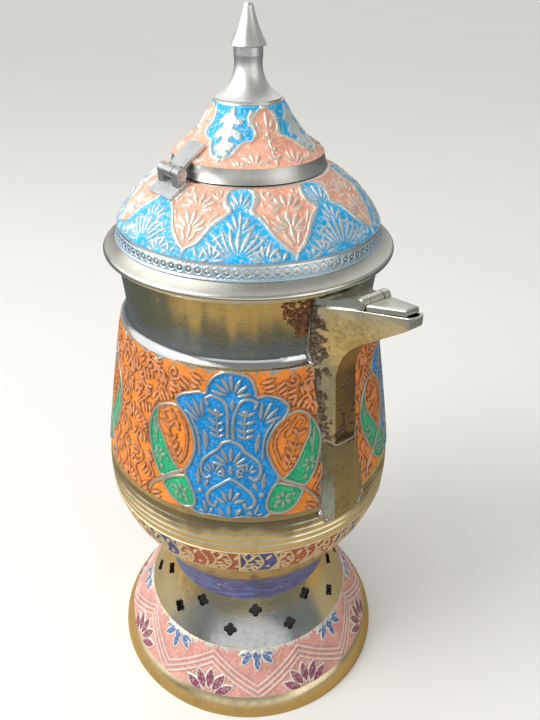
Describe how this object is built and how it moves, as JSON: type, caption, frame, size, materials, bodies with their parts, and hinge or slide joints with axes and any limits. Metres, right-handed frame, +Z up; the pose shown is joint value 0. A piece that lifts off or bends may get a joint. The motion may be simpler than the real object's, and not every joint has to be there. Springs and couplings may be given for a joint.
{
  "type": "dallah coffee pot",
  "caption": "Enamelled brass coffee pot on a pierced flared foot, with a beaked spout and flap, a lift-off domed cover and a hinged pointed lid.",
  "frame": {"origin": "on the pot's axis, in the plane that the foot stands on", "axes": "+Z up along the pot's axis, +X towards the spout, -X towards the handle"},
  "size_m": [0.1948, 0.1344, 0.3],
  "materials": {
    "gold_brass": "polished, yellow, fine turning lines",
    "polished_brass": "mirror polished, slightly tarnished",
    "pale_brass": "pale, tinned and rubbed bright",
    "worn_brass": "dull grey, worn",
    "orange_blue_enamel": "gloss enamel in engraved cells",
    "pink_foot_paint": "rubbed paint over brass",
    "lilac_paint": "satin paint over brass"
  },
  "bodies": {
    "pot": {"foot_rim": "gold_brass", "foot_pedestal": "pink_foot_paint", "foot_collar": "lilac_paint", "bowl_base": "gold_brass", "belly_ring": "gold_brass", "body_wall": "orange_blue_enamel", "neck": "polished_brass", "mouth_ring": "gold_brass", "spout_heel": "gold_brass", "spout_front_strip": "gold_brass", "spout_right_cheek": "gold_brass", "spout_left_cheek": "gold_brass", "spout_lip": "pale_brass", "spout_top_plate": "pale_brass", "flap_pin": "pale_brass", "handle_bar": "gold_brass", "handle_upper_bracket": "gold_brass", "handle_lower_bracket": "gold_brass", "handle_rivets": "worn_brass"},
    "flap": {"spout_flap": "pale_brass"},
    "cover": {"cover_flange": "pale_brass", "cover_collar": "worn_brass", "dome_border": "pale_brass", "dome": "orange_blue_enamel", "throat_ring": "worn_brass", "dome_hinge_leaf": "worn_brass", "lid_hinge_pin": "worn_brass"},
    "lid": {"lid_band": "pale_brass", "lid_cone": "orange_blue_enamel", "finial": "pale_brass", "finial_nut": "worn_brass", "lid_hinge_leaf": "worn_brass"}
  },
  "joints": [
    {"name": "cover_lift", "type": "slide", "parent": "pot", "child": "cover", "axis": [0, 0, 1], "range_m": [0, 0.05]},
    {"name": "lid_hinge", "type": "hinge", "parent": "cover", "child": "lid", "pos_m": [0, -0.0335, 0.24864], "axis": [1, 0, 0], "range_deg": [0, 110]},
    {"name": "flap_hinge", "type": "hinge", "parent": "pot", "child": "flap", "pos_m": [0.0684, 0, 0.2158], "axis": [0, -1, 0], "range_deg": [0, 100]}
  ]
}
